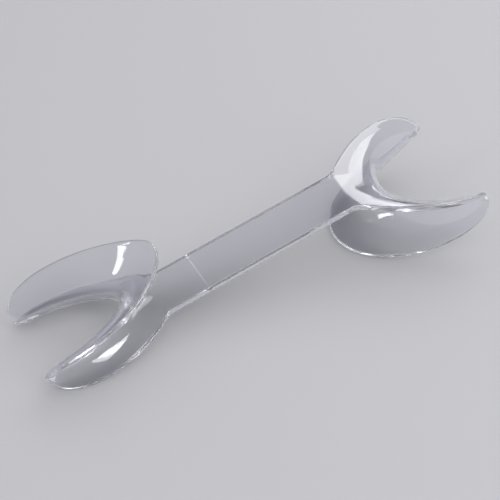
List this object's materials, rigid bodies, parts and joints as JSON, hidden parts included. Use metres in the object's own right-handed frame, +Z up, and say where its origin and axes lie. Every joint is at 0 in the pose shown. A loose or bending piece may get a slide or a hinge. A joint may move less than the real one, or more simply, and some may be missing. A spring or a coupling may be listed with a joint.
{
  "type": "cheek retractor",
  "caption": "Clear double-ended cheek retractor: a flat strip handle with a C-shaped, U-section saddle head at each end, one small and one large.",
  "frame": {"origin": "middle of the bounding box on the table that the retractor rests on", "axes": "+X along the handle from the small head to the large head, +Y across the handle, +Z up from the table; the handle leans up towards +X by 12.6 degrees"},
  "size_m": [0.1666, 0.0514, 0.031],
  "materials": {
    "clear_plastic": "clear polished polycarbonate with a faint lavender tint"
  },
  "bodies": {
    "root": {"handle_centre_panel": "clear_plastic", "handle_small_end": "clear_plastic", "handle_large_end": "clear_plastic", "small_outer_flange": "clear_plastic", "small_lip_channel": "clear_plastic", "small_inner_flange": "clear_plastic", "large_outer_flange": "clear_plastic", "large_lip_channel": "clear_plastic", "large_inner_flange": "clear_plastic"}
  },
  "joints": []
}
